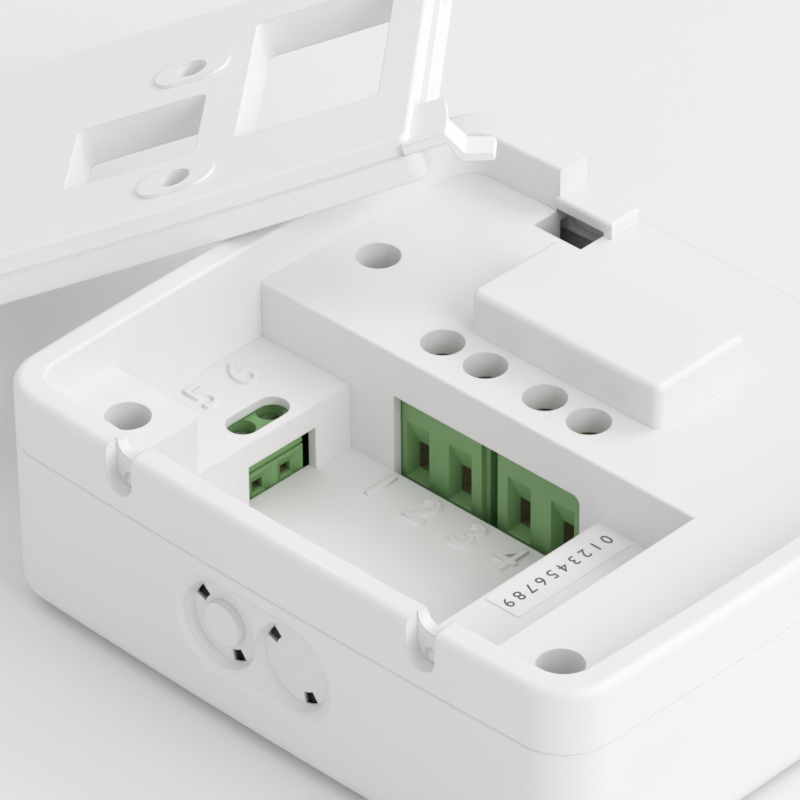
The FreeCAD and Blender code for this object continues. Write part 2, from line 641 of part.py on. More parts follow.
def build_case_screws():
    """Four pan-head screws from the wells into the bosses."""
    seat = WELL_BOTTOM_Z + WELL_BOTTOM_T
    screws = []
    for x, y in CASE_SCREWS:
        head = rod(x, y, seat, seat + CASE_SCREW_HEAD_H, CASE_SCREW_HEAD_D)
        head = head.makeFillet(CASE_SCREW_HEAD_H / 3, level_edges(head, seat + CASE_SCREW_HEAD_H))
        shank = rod(x, y, seat - CASE_SCREW_L, seat, CASE_SCREW_D)
        cross = cross_recess(x, y, seat + CASE_SCREW_HEAD_H, CASE_SCREW_CROSS)
        screws.append(fuse([head, shank]).cut(cross))
    return Part.makeCompound(screws)


def cross_recess(x, y, top, width):
    """The cross-shaped cut in a screw's head."""
    arm = width / 5
    depth = width / 3
    return fuse([box(x - width / 2, x + width / 2, y - arm / 2, y + arm / 2, top - depth, top + 1),
                 box(x - arm / 2, x + arm / 2, y - width / 2, y + width / 2, top - depth, top + 1)])


def build_board_screws():
    """Four small screws that hold the board on its posts."""
    screws = []
    for x, y in BOARD_SCREW_AT:
        top = BOARD_TOP_Z + BOARD_SCREW_HEAD_H
        head = rod(x, y, BOARD_TOP_Z, top, BOARD_SCREW_HEAD_D)
        shank = rod(x, y, FRONT_WALL + OVER / 4, BOARD_TOP_Z, BOARD_SCREW_D)
        recess = box(x - BOARD_SCREW_HEAD_D, x + BOARD_SCREW_HEAD_D, y - 0.3, y + 0.3,
                     top - BOARD_SCREW_HEAD_H / 2, top + 1)
        screws.append(fuse([head, shank]).cut(recess))
    return Part.makeCompound(screws)


def terminal_width(spec):
    """The width of a terminal block without its ribs."""
    return spec["pitch"] * spec["poles"]


def pole_offsets(spec):
    """The pole centres of a block, from its middle."""
    first = -spec["pitch"] * (spec["poles"] - 1) / 2
    return [first + spec["pitch"] * i for i in range(spec["poles"])]


def terminal_body(spec):
    """The green housing of a screw terminal, standing on z = 0 with its front at y = 0."""
    half = terminal_width(spec) / 2
    body = box(-half, half, 0, spec["depth"], 0, spec["height"])
    cage_y0 = spec["screw_y"] - spec["cage_y"] / 2
    cage_y1 = cage_y0 + spec["cage_y"]
    gap = spec["side_gap"]
    web_top = spec["shoulder_z"]
    cuts = []
    for x in pole_offsets(spec):
        mouth = (x - spec["mouth_w"] / 2, x + spec["mouth_w"] / 2) + spec["mouth_z"]
        hole = (x - spec["hole_w"] / 2, x + spec["hole_w"] / 2) + spec["hole_z"]
        cuts.append(frustum(mouth, hole, 0, spec["funnel"]))
        cuts.append(box(hole[0], hole[1], spec["funnel"] / 2, cage_y0, hole[2], hole[3]))
        half_cage = spec["cage_w"] / 2 + gap
        cuts.append(box(x - half_cage, x + half_cage, cage_y0 - gap, cage_y1 + gap,
                        spec["cage_z"][0] - gap, web_top - spec["web"]))
        cuts.append(rod(x, spec["screw_y"], web_top - 2 * spec["web"], web_top,
                        spec["screw_d"] + 2 * gap))
        cuts.append(rod(x, spec["screw_y"], web_top, spec["height"] + OVER,
                        spec["head_d"] + 2 * gap))
        strip_z = strip_top(spec)
        half_strip = strip_width(spec) / 2 + PIN_HOLE_GAP
        cuts.append(box(x - half_strip, x + half_strip, cage_y1, leg_back(spec) + PIN_HOLE_GAP,
                        -OVER, strip_z + PIN_HOLE_GAP))
        cuts.append(rod(x, leg_back(spec) - spec["strip_t"] / 2, -OVER, 2 * spec["strip_t"] + 0.1,
                        PIN_D + 2 * PIN_HOLE_GAP))
    if spec["slope"]:
        z0, z1, back = spec["slope_z"], spec["height"], spec["slope"]
        wedge = Part.Face(Part.makePolygon([Vector(-half - 1, 0, z0), Vector(-half - 1, back, z1),
                                            Vector(-half - 1, back, z1 + 1),
                                            Vector(-half - 1, -1, z1 + 1),
                                            Vector(-half - 1, -1, z0), Vector(-half - 1, 0, z0)]))
        cuts.append(wedge.extrude(Vector(2 * half + 2, 0, 0)))
        cuts.append(box(-half - 1, half + 1, -1, BLOCK_GROOVE, z0 - BLOCK_GROOVE, z0))
    if spec["rib"]:
        rib = spec["rib"]
        ribs = [box(half, half + rib, y, y + 1.5 * rib, 0, spec["height"] - 4 * rib)
                for y in (rib, 4 * rib)]
        body = fuse([body] + ribs)
        cuts += [box(-half - 1, -half + RIB_GROOVE, y - SEAT_GAP, y + 1.5 * rib + SEAT_GAP, -1,
                     spec["height"] - 4 * rib) for y in (rib, 4 * rib)]
    return body.cut(Part.makeCompound(cuts)).removeSplitter()


def strip_top(spec):
    """The height of the fixed contact's top, just under the cage's upper wall."""
    return spec["cage_z"][1] - spec["cage_top"] - 2 * SEAT_GAP


def strip_width(spec):
    """The width of the fixed contact, clear of the cage's sides."""
    return spec["cage_w"] - 2 * spec["cage_side"] - 2 * STRIP_SIDE_GAP


def leg_back(spec):
    """How far behind the front the contact's leg ends."""
    return spec["screw_y"] + spec["cage_y"] / 2 + 2 * spec["strip_t"] + PIN_HOLE_GAP


def contact_strips(spec):
    """The fixed contacts of a block: a strip in each cage and a pin through the board."""
    top = strip_top(spec)
    t = spec["strip_t"]
    front = spec["screw_y"] - spec["cage_y"] / 2
    back = leg_back(spec)
    half = strip_width(spec) / 2
    strips = []
    for x in pole_offsets(spec):
        strips.append(fuse([box(x - half, x + half, front, back, top - t, top),
                            box(x - half, x + half, back - t, back, SEAT_GAP, top),
                            rod(x, back - t / 2, -BOARD_T - PIN_STICK_OUT, 2 * t, PIN_D)]))
    return strips


def terminal_screw(spec, x):
    """One clamping screw: slotted head on the shoulder, tip on the fixed contact."""
    seat = spec["shoulder_z"]
    top = seat + spec["head_h"]
    head = rod(x, spec["screw_y"], seat, top, spec["head_d"])
    head = head.makeFillet(spec["head_h"] / 5, level_edges(head, top))
    shank = rod(x, spec["screw_y"], strip_top(spec) + SEAT_GAP, seat, spec["screw_d"])
    w = spec["slot_w"] / 2
    slot = box(x - spec["head_d"], x + spec["head_d"], spec["screw_y"] - w, spec["screw_y"] + w,
               top - spec["head_h"] / 2, top + 1)
    return fuse([head, shank]).cut(slot)


def clamp_cage(spec, x):
    """One rising cage: a square ring round the wire, threaded on the screw."""
    z0, z1 = spec["cage_z"]
    y0 = spec["screw_y"] - spec["cage_y"] / 2
    y1 = y0 + spec["cage_y"]
    half = spec["cage_w"] / 2
    side = spec["cage_side"]
    ring = box(x - half, x + half, y0, y1, z0, z1)
    window = box(x - half + side, x + half - side, y0 - 1, y1 + 1, z0 + spec["cage_floor"],
                 z1 - spec["cage_top"])
    thread = rod(x, spec["screw_y"], z1 - spec["cage_top"] - 1, z1 + 1,
                 spec["screw_d"] + 2 * SEAT_GAP)
    return ring.cut(window).cut(thread)


def place_main(shape, centre_x):
    """A large terminal's shape, moved to its place on the board."""
    moved = shape.copy()
    moved.translate(Vector(centre_x, MAIN_FRONT_Y, BOARD_TOP_Z))
    return moved


def place_bus(shape):
    """The small terminal's shape, turned to face +X and moved to its place."""
    moved = shape.copy()
    moved.rotate(Vector(0, 0, 0), Vector(0, 0, 1), 90)
    moved.translate(Vector(BUS_FRONT_X, BUS_CENTRE_Y, BOARD_TOP_Z))
    return moved


def terminal_placers():
    """Each terminal's name, sizes and the function that puts its pieces in place."""
    return [("relay", MAIN, lambda s: place_main(s, MAIN_CENTRE_X[0])),
            ("mains", MAIN, lambda s: place_main(s, MAIN_CENTRE_X[1])),
            ("bus", BUS, place_bus)]


def build_terminals():
    """All terminal pieces as a dictionary from node name to shape."""
    nodes = {}
    number = 1
    for name, spec, place in terminal_placers():
        nodes[name + "_terminal_body"] = place(terminal_body(spec))
        nodes[name + "_terminal_contacts"] = Part.makeCompound(
            [place(s) for s in contact_strips(spec)])
        for x in pole_offsets(spec):
            nodes["terminal_screw_%d" % number] = place(terminal_screw(spec, x))
            nodes["clamp_cage_%d" % number] = place(clamp_cage(spec, x))
            number += 1
    return nodes


def relay_pin_places():
    """Two coil pins and three contact pins under the relay."""
    x, y = RELAY_AT
    reach = RELAY_W / 2 - RELAY_PIN_INSET
    side = RELAY_L / 2 - RELAY_PIN_INSET
    return [(x - reach, y - side), (x - reach, y + side), (x + reach, y - side),
            (x + reach, y + side), (x + reach / 2, y)]


def lead_pair(at, apart):
    """The two lead places of a part, along X."""
    return [(at[0] + side * apart / 2, at[1]) for side in (-1, 1)]


def lead_places():
    """Where the leads of the other through-hole parts go through the board."""
    parts = [(at, CAPACITOR_LEADS) for at in CAPACITOR_AT]
    parts += [(FILTER_AT, FILTER_LEADS), (VARISTOR_AT, VARISTOR_LEADS), (FUSE_AT, FUSE_LEADS)]
    return [place for at, apart in parts for place in lead_pair(at, apart)]


def contact_pin_places():
    """Where the terminals' pins go through the board."""
    places = []
    for name, spec, place in terminal_placers():
        for strip in contact_strips(spec):
            low = place(strip).slice(Vector(0, 0, 1), BOARD_BOTTOM_Z)[0].BoundBox.Center
            places.append((low.x, low.y))
    return places


def build_circuit_board():
    """The main board, notched round the case bosses and drilled for every lead."""
    board = rounded_box(-BOARD_W / 2, BOARD_W / 2, -BOARD_L / 2, BOARD_L / 2, BOARD_BOTTOM_Z,
                        BOARD_TOP_Z, BOARD_CORNER_R)
    cuts = [rod(x, y, BOARD_BOTTOM_Z - 1, BOARD_TOP_Z + 1, BOSS_D + 2 * BOARD_BOSS_GAP)
            for x, y in CASE_SCREWS]
    cuts += [rod(x, y, BOARD_BOTTOM_Z - 1, BOARD_TOP_Z + 1, BOARD_SCREW_D + 2 * BOARD_HOLE_GAP)
             for x, y in BOARD_SCREW_AT]
    pins = relay_pin_places() + lead_places() + contact_pin_places()
    cuts += [rod(x, y, BOARD_BOTTOM_Z - 1, BOARD_TOP_Z + 1, PIN_D + 2 * PIN_HOLE_GAP)
             for x, y in pins]
    return board.cut(Part.makeCompound(cuts))


def pin(place, top):
    """One lead from just below the board up to the part that it carries."""
    return rod(place[0], place[1], BOARD_BOTTOM_Z - PIN_STICK_OUT, top, PIN_D)


def build_relay():
    """The relay's closed case with a rounded top edge, and its pins."""
    x, y = RELAY_AT
    case = centred_box((x, y), (RELAY_W, RELAY_L, RELAY_H), BOARD_TOP_Z)
    case = case.makeFillet(RELAY_EDGE_R, upright_edges(case))
    case = case.makeFillet(RELAY_EDGE_R / 2, level_edges(case, BOARD_TOP_Z + RELAY_H))
    pins = [pin(p, BOARD_TOP_Z) for p in relay_pin_places()]
    return case, Part.makeCompound(pins)


def build_transformer():
    """A small ferrite core of two halves round a wound bobbin."""
    w, l, h = TRANSFORMER_CORE
    x, y = TRANSFORMER_AT
    z0 = BOARD_TOP_Z + BOBBIN_CHEEK
    leg = TRANSFORMER_LEG
    core = centred_box((x, y), TRANSFORMER_CORE, z0)
    open_h = h - 2 * leg
    for side in (-1, 1):
        cx = x + side * (leg / 2 + (w - 3 * leg) / 4 + leg / 4)
        half = (w - 3 * leg) / 4 + leg / 4
        core = core.cut(box(cx - half, cx + half, y - l, y + l, z0 + leg, z0 + leg + open_h))
    sleeve_gap = SEAT_GAP
    centre_half = core_centre_half()
    bobbin = box(x - w / 2 + leg, x + w / 2 - leg, y - l / 2 - BOBBIN_CHEEK,
                 y + l / 2 + BOBBIN_CHEEK, z0 + leg + sleeve_gap, z0 + leg + open_h - sleeve_gap)
    bobbin = bobbin.cut(box(x - centre_half - sleeve_gap, x + centre_half + sleeve_gap,
                            y - l, y + l, z0 + leg - 1, z0 + leg + open_h + 1))
    feet = [box(x - w / 2, x + w / 2, y + s * (l / 2 - 1) - 1, y + s * (l / 2 - 1) + 1,
                BOARD_TOP_Z, z0) for s in (-1, 1)]
    return core, Part.makeCompound(bobbin.Solids), Part.makeCompound(feet)


def core_centre_half():
    """Half the width of the core's middle leg."""
    w = TRANSFORMER_CORE[0]
    leg = TRANSFORMER_LEG
    return (leg / 2 + (w - 3 * leg) / 4 + leg / 4) - ((w - 3 * leg) / 4 + leg / 4)


def build_capacitors():
    """Two upright electrolytic cans with their leads."""
    cans = []
    for x, y in CAPACITOR_AT:
        can = rod(x, y, BOARD_TOP_Z, BOARD_TOP_Z + CAPACITOR_H, CAPACITOR_D)
        can = can.makeFillet(0.5, level_edges(can, BOARD_TOP_Z + CAPACITOR_H))
        leads = [pin(place, BOARD_TOP_Z + OVER / 4) for place in lead_pair((x, y), CAPACITOR_LEADS)]
        cans.append(fuse([can] + leads))
    return Part.makeCompound(cans)


def build_filter_capacitor():
    """The box-shaped capacitor across the supply, with its leads."""
    body = centred_box(FILTER_AT, FILTER_SIZE, BOARD_TOP_Z)
    body = body.makeFillet(0.4, upright_edges(body))
    leads = [pin(place, BOARD_TOP_Z + OVER / 4) for place in lead_pair(FILTER_AT, FILTER_LEADS)]
    return fuse([body] + leads)


def build_varistor():
    """A disc on two legs that takes up surges."""
    x, y = VARISTOR_AT
    centre_z = BOARD_TOP_Z + VARISTOR_RISE + VARISTOR_D / 2
    disc = rod_y(x, centre_z, y - VARISTOR_T / 2, y + VARISTOR_T / 2, VARISTOR_D)
    disc = disc.makeFillet(VARISTOR_T / 4, disc.Edges[:1] + disc.Edges[2:])
    legs = [pin(place, centre_z) for place in lead_pair(VARISTOR_AT, VARISTOR_LEADS)]
    return fuse([disc] + legs)


def build_fuse():
    """A round board fuse with its leads."""
    x, y = FUSE_AT
    can = rod(x, y, BOARD_TOP_Z, BOARD_TOP_Z + FUSE_H, FUSE_D)
    can = can.makeFillet(0.4, level_edges(can, BOARD_TOP_Z + FUSE_H))
    return fuse([can] + [pin(place, BOARD_TOP_Z + OVER / 4)
                         for place in lead_pair(FUSE_AT, FUSE_LEADS)])


def build_processor():
    """A flat chip with a row of legs on each of two sides."""
    chip = centred_box(PROCESSOR_AT, PROCESSOR_SIZE, BOARD_TOP_Z)
    chip = chip.makeChamfer(0.2, level_edges(chip, BOARD_TOP_Z + PROCESSOR_SIZE[2]))
    x, y = PROCESSOR_AT
    legs = []
    count = 8
    step = PROCESSOR_SIZE[1] / (count + 1)
    for i in range(count):
        leg_y = y - PROCESSOR_SIZE[1] / 2 + step * (i + 1)
        for side in (-1, 1):
            x0, x1 = sorted((x + side * PROCESSOR_SIZE[0] / 2, x + side * (PROCESSOR_SIZE[0] / 2 + 1)))
            legs.append(box(x0, x1, leg_y - 0.2, leg_y + 0.2, BOARD_TOP_Z, BOARD_TOP_Z + 0.5))
    return fuse([chip] + legs)


def build_crystal():
    """The oval metal can of the clock crystal, lying on the board."""
    w, l, h = CRYSTAL_SIZE
    return rounded_box(CRYSTAL_AT[0] - w / 2, CRYSTAL_AT[0] + w / 2, CRYSTAL_AT[1] - l / 2,
                       CRYSTAL_AT[1] + l / 2, BOARD_TOP_Z, BOARD_TOP_Z + h, l / 2 - 0.01)


def build_rectifier():
    """The small bridge rectifier."""
    body = centred_box(RECTIFIER_AT, RECTIFIER_SIZE, BOARD_TOP_Z)
    return body.makeChamfer(0.3, level_edges(body, BOARD_TOP_Z + RECTIFIER_SIZE[2]))


def build_radio():
    """The upright radio board, its screening can and its wire aerial."""
    board = centred_box(RADIO_AT, RADIO_BOARD, BOARD_TOP_Z)
    face_x = RADIO_AT[0] - RADIO_BOARD[0] / 2
    w, l, h = SHIELD_SIZE
    can = centred_box((face_x - w / 2, RADIO_AT[1]), SHIELD_SIZE,
                      BOARD_TOP_Z + SHIELD_RISE)
    can = can.makeFillet(0.4, [e for e in can.Edges if abs(e.BoundBox.XMax - (face_x - w)) < 1e-6])
    wire_x = BOARD_W / 2 - ANTENNA_WIRE_D
    wire_y = RADIO_AT[1] + RADIO_BOARD[1] / 2 + ANTENNA_WIRE_D / 2 + ANTENNA_BOARD_GAP
    top = BOARD_TOP_Z + ANTENNA_H
    upright = rod(wire_x, wire_y, BOARD_TOP_Z, top, ANTENNA_WIRE_D)
    level = rod_y(wire_x, top, wire_y, wire_y + ANTENNA_L, ANTENNA_WIRE_D)
    elbow = Part.makeSphere(ANTENNA_WIRE_D / 2, Vector(wire_x, wire_y, top))
    return board, can, fuse([upright, level, elbow])


def build_button():
    """The front button with its flange, the switch that it presses and the switch's plunger."""
    x, y = BUTTON_AT
    flange_top = FRONT_WALL + BUTTON_FLANGE_T
    cap = rod(x, y, BUTTON_SINK, flange_top, BUTTON_D)
    cap = cap.makeFillet(0.5, level_edges(cap, BUTTON_SINK))
    cap = fuse([cap, rod(x, y, FRONT_WALL, flange_top, BUTTON_FLANGE_D)])
    switch_z = BOARD_BOTTOM_Z - SWITCH_H
    housing = centred_box((x, y), (SWITCH_W, SWITCH_W, SWITCH_H), switch_z)
    well_top = switch_z + PLUNGER_DEPTH + BUTTON_TRAVEL + 0.1
    housing = housing.cut(rod(x, y, switch_z - 1, well_top, PLUNGER_D + 2 * BUTTON_GAP))
    plunger = rod(x, y, flange_top, switch_z + PLUNGER_DEPTH, PLUNGER_D)
    return cap, housing, plunger


def build_lights():
    """Two light-emitting diodes under the board and the clear rods in front of them."""
    leds = []
    rods = []
    for x, y in LIGHT_AT:
        led_z = BOARD_BOTTOM_Z - LED_H
        leds.append(centred_box((x, y), (LED_W, LED_L, LED_H), led_z))
        rods.append(fuse([rod(x, y, 0, led_z - SEAT_GAP, LIGHT_D),
                          rod(x, y, FRONT_WALL, led_z - SEAT_GAP, LIGHT_FLANGE_D)]))
    return Part.makeCompound(leds), Part.makeCompound(rods)


def build_label():
    """The white number label on the ledge."""
    x0 = LEDGE_X0 + LABEL_INSET
    y1 = RECESS_Y1 - 2 * LABEL_INSET
    return rounded_box(x0, x0 + LABEL_W, y1 - LABEL_L, y1, STEP_Z, STEP_Z + LABEL_T, LABEL_INSET)


def plate_prism(inset, z0, z1):
    """The wall plate's outline, set in by a wall's thickness."""
    half_w, half_l = PLATE_W / 2 - inset, PLATE_L / 2 - inset
    return bowed_prism(-half_w, half_w, -half_l, half_l, PLATE_BOW, 0, max(PLATE_R - inset, 0.6),
                       z0, z1)


def plate_hook(side):
    """One hook on the end of the plate: a tab that turns down into a leaning tongue."""
    end = PLATE_L / 2
    edge_x = PLATE_W / 2 - PLATE_BOW
    root = end - SKIRT_T
    face = TAB_L + HOOK_LEAN
    under = -TAB_TOP - TAB_T
    plan = [(TAB_X0, root), (TAB_X0, end + TAB_L - TAB_CORNER), (HOOK_X0, end + TAB_L),
            (edge_x, end + TAB_L), (edge_x, root)]
    corners = [Vector(side * x, y, under) for x, y in plan]
    tab = Part.Face(Part.makePolygon(corners + corners[:1])).extrude(Vector(0, 0, TAB_T))
    bottom = -TONGUE_TOP - TONGUE_T
    profile = [(0, -TAB_TOP), (TAB_L, -TAB_TOP), (face, -TONGUE_TOP),
               (TONGUE_L, -TONGUE_TOP - TONGUE_DIP), (TONGUE_L, bottom - TONGUE_DIP),
               (face - HOOK_T + HOOK_BEND, bottom), (face - HOOK_T, bottom + HOOK_BEND),
               (TAB_L, under), (0, under)]
    corners = [Vector(side * HOOK_X0, end + y, z) for y, z in profile]
    hook = Part.Face(Part.makePolygon(corners + corners[:1]))
    hook = hook.extrude(Vector(side * (edge_x - HOOK_X0), 0, 0))
    bends = [e for e in hook.Edges if e.BoundBox.XLength > 1
             and any(abs(e.BoundBox.YMin - end - y) < 1e-5 and abs(e.BoundBox.ZMin - z) < 1e-5
                     for y, z in (profile[1], profile[5], profile[6]))]
    return [tab, hook.makeFillet(HOOK_R, bends)]


def build_wall_plate():
    """The plate that is screwed to the wall, in the leaning place that it has here."""
    upper = plate_prism(SKIRT_STEP, -SKIRT_STEP_Z, 0)
    upper = upper.makeFillet(PLATE_EDGE_R, level_edges(upper, 0))
    lower = plate_prism(0, -PLATE_H, -SKIRT_STEP_Z)
    hollow = plate_prism(SKIRT_STEP + SKIRT_T, -PLATE_H - OVER, -SHEET_T)
    plate = fuse([upper, lower]).cut(hollow)
    solids = [plate]
    cuts = []
    for x0, x1, y0, y1 in WINDOWS:
        solids.append(rounded_box(x0 - COLLAR_T, x1 + COLLAR_T, y0 - COLLAR_T, y1 + COLLAR_T,
                                  -COLLAR_H, -SHEET_T / 2, WINDOW_R + COLLAR_T))
        cuts.append(rounded_box(x0, x1, y0, y1, -PLATE_H - OVER, OVER, WINDOW_R))
    for x, y in WALL_SCREW_AT:
        solids.append(stadium(x, y, PAD_L, PAD_W, -PAD_BELOW, PAD_H))
        cuts.append(rod(x, y, -PLATE_H - OVER, OVER, WALL_SCREW_D))
    for side in (-1, 1):
        solids += plate_hook(side)
        solids.append(rod_y(side * NOTCH_X, -NOTCH_HOLE_BELOW_RIM, -PLATE_L / 2 - LATCH_REACH,
                            -PLATE_L / 2 + SKIRT_T, LATCH_D))
    plate = fuse(solids).cut(Part.makeCompound(cuts)).removeSplitter()
    turn = (Rotation(Vector(0, 0, 1), PLATE_YAW) * Rotation(Vector(1, 0, 0), PLATE_PITCH)
            * Rotation(Vector(0, 1, 0), PLATE_ROLL))
    centre = Vector(*PLATE_AT, CASE_H + PLATE_ABOVE_RIM)
    return plate.transformed(Placement(centre, turn).toMatrix(), True)


def build_all():
    """Every node's shape by its name."""
    relay_case, relay_pins = build_relay()
    core, winding, feet = build_transformer()
    radio_board, radio_shield, aerial = build_radio()
    cap, switch_housing, plunger = build_button()
    leds, light_rods = build_lights()
    nodes = {
        "rear_housing": build_rear_housing(),
        "front_cover": build_front_cover(),
        "wall_plate": build_wall_plate(),
        "serial_label": build_label(),
        "case_screws": build_case_screws(),
        "board_screws": build_board_screws(),
        "circuit_board": build_circuit_board(),
        "power_relay": relay_case,
        "relay_pins": relay_pins,
        "transformer_core": core,
        "transformer_winding": winding,
        "transformer_feet": feet,
        "bulk_capacitors": build_capacitors(),
        "filter_capacitor": build_filter_capacitor(),
        "varistor": build_varistor(),
        "board_fuse": build_fuse(),
        "bridge_rectifier": build_rectifier(),
        "microcontroller": build_processor(),
        "clock_crystal": build_crystal(),
        "radio_board": radio_board,
        "radio_shield": radio_shield,
        "wire_aerial": aerial,
        "push_button": cap,
        "switch_housing": switch_housing,
        "switch_plunger": plunger,
        "status_leds": leds,
        "light_rods": light_rods,
    }
    nodes.update(build_terminals())
    return nodes


os.makedirs("parts", exist_ok=True)
for node_name, node_shape in build_all().items():
    node_shape.exportStep("parts/%s.step" % node_name)
    print(node_name, len(node_shape.Solids), round(node_shape.Volume, 1), node_shape.isValid())
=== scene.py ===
"""Looks of a wall-mounted heating receiver that lies face down beside its loose wall plate.

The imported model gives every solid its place. This script gives each piece its finish, adds the
raised numbers and the printed label, and sets up the floor, the light and the camera.
"""

import logging
import math
from dataclasses import dataclass, field
from enum import Enum

import bpy
from mathutils import Matrix, Vector

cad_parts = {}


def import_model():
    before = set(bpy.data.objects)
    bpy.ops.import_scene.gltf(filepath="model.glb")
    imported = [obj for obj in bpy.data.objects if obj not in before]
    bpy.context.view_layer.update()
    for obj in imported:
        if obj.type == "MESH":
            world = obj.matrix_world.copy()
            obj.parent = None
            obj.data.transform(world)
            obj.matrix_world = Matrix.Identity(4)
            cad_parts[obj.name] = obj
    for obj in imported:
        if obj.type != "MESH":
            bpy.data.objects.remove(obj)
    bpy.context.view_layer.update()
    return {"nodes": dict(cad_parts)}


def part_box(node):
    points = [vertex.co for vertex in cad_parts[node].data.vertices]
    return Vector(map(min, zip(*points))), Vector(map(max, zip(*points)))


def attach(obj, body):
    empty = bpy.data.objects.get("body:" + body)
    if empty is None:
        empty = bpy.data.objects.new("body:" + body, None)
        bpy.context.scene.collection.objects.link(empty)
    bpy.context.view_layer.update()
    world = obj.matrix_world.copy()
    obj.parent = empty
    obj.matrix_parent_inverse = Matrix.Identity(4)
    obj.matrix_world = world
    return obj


log = logging.getLogger("receiver")

MM = 0.001
Point = tuple[float, float, float]
Colour = tuple[float, float, float]


class Reading(Enum):
    """The way that a row of numbers runs, as the turn of its baseline from +X."""

    ALONG_X = 0.0
    ALONG_Y = math.pi / 2
    AGAINST_Y = -math.pi / 2


def deselect_all() -> None:
    """Leaves nothing selected."""
    bpy.ops.object.select_all(action="DESELECT")


def settle(piece: bpy.types.Object) -> bpy.types.Object:
    """Puts a piece's place, turn and scale into its mesh.

    Args:
        piece: The finished mesh object.

    Returns:
        The same object, at the origin.
    """
    deselect_all()
    piece.select_set(True)
    bpy.context.view_layer.objects.active = piece
    bpy.ops.object.transform_apply(location=True, rotation=True, scale=True)
    deselect_all()
    return piece


class Finish:
    """A material under construction: its nodes, its links and the shader at its end."""

    def __init__(self, name: str) -> None:
        """Starts an empty node material with one Principled shader."""
        self.material = bpy.data.materials.new(name)
        self.material.use_nodes = True
        self.nodes = self.material.node_tree.nodes
        self.links = self.material.node_tree.links
        self.shader = self.nodes["Principled BSDF"]
        self.coords = self.nodes.new("ShaderNodeTexCoord")

    def noise(self, scale: float, detail: float = 2.0) -> bpy.types.Node:
        """Adds a noise texture on Object coordinates.

        Args:
            scale: Repeats to a metre.
            detail: Octaves of finer noise.

        Returns:
            The noise node.
        """
        node = self.nodes.new("ShaderNodeTexNoise")
        node.inputs["Scale"].default_value = scale
        node.inputs["Detail"].default_value = detail
        self.links.new(self.coords.outputs["Object"], node.inputs["Vector"])
        return node

    def blend_colours(self, factor: bpy.types.NodeSocket, low: Colour, high: Colour) -> None:
        """Makes the base colour run from low to high with a factor.

        Args:
            factor: The socket that drives it.
            low: The colour at the factor's low end.
            high: The colour at its high end.
        """
        ramp = self.nodes.new("ShaderNodeValToRGB")
        for stop, place, colour in zip(ramp.color_ramp.elements, (0.3, 0.7), (low, high)):
            stop.position = place
            stop.color = (*colour, 1.0)
        self.links.new(factor, ramp.inputs["Fac"])
        self.links.new(ramp.outputs["Color"], self.shader.inputs["Base Color"])

    def vary_roughness(self, factor: bpy.types.NodeSocket, low: float, high: float) -> None:
        """Makes the roughness run between two values with a factor.

        Args:
            factor: The socket that drives it.
            low: The roughness at 0.
            high: The roughness at 1.
        """
        span = self.nodes.new("ShaderNodeMapRange")
        span.inputs["To Min"].default_value = low
        span.inputs["To Max"].default_value = high
        self.links.new(factor, span.inputs["Value"])
        self.links.new(span.outputs["Result"], self.shader.inputs["Roughness"])

    def relief(self, height: bpy.types.NodeSocket, depth: float, edge: float) -> None:
        """Gives the surface a fine relief and its edges a soft round.

        Args:
            height: The socket that holds the relief's height.
            depth: The relief's depth in metres.
            edge: The radius of the soft edges in metres, or 0 for none.
        """
        bump = self.nodes.new("ShaderNodeBump")
        bump.inputs["Distance"].default_value = depth
        bump.inputs["Strength"].default_value = 0.5
        self.links.new(height, bump.inputs["Height"])
        if edge:
            rounding = self.nodes.new("ShaderNodeBevel")
            rounding.samples = 4
            rounding.inputs["Radius"].default_value = edge
            self.links.new(rounding.outputs["Normal"], bump.inputs["Normal"])
        self.links.new(bump.outputs["Normal"], self.shader.inputs["Normal"])


@dataclass(frozen=True)
class MouldedPlastic:
    """Injection-moulded plastic with a fine spark-eroded skin."""

    name: str
    colour: Colour
    shade: float = 0.03
    roughness: tuple[float, float] = (0.42, 0.5)
    grain: float = 2600.0
    depth: float = 0.012 * MM
    edge: float = 0.25 * MM
    specular: float = 0.4

    def make(self) -> bpy.types.Material:
        """Builds the material.

        Returns:
            The finished material.
        """
        finish = Finish(self.name)
        cloud = finish.noise(45.0)
        darker = tuple(c * (1.0 - self.shade) for c in self.colour)
        finish.blend_colours(cloud.outputs["Fac"], darker, self.colour)
        grain = finish.noise(self.grain, 3.0)
        finish.vary_roughness(grain.outputs["Fac"], *self.roughness)
        finish.relief(grain.outputs["Fac"], self.depth, self.edge)
        finish.shader.inputs["Specular IOR Level"].default_value = self.specular
        return finish.material


@dataclass(frozen=True)
class PlatedMetal:
    """Plated or bare metal with fine drawn lines and small stains."""

    name: str
    colour: Colour
    dull: Colour
    roughness: tuple[float, float] = (0.24, 0.42)
    stretch: Point = (1.0, 1.0, 12.0)
    edge: float = 0.06 * MM
    metallic: float = 1.0

    def make(self) -> bpy.types.Material:
        """Builds the material.

        Returns:
            The finished material.
        """
        finish = Finish(self.name)
        mapping = finish.nodes.new("ShaderNodeMapping")
        mapping.inputs["Scale"].default_value = self.stretch
        finish.links.new(finish.coords.outputs["Object"], mapping.inputs["Vector"])
        lines = finish.noise(900.0, 4.0)
        finish.links.new(mapping.outputs["Vector"], lines.inputs["Vector"])
        stains = finish.noise(420.0, 3.0)
        finish.blend_colours(stains.outputs["Fac"], self.dull, self.colour)
        finish.vary_roughness(lines.outputs["Fac"], *self.roughness)
        finish.relief(lines.outputs["Fac"], 0.006 * MM, self.edge)
        finish.shader.inputs["Metallic"].default_value = self.metallic
        return finish.material


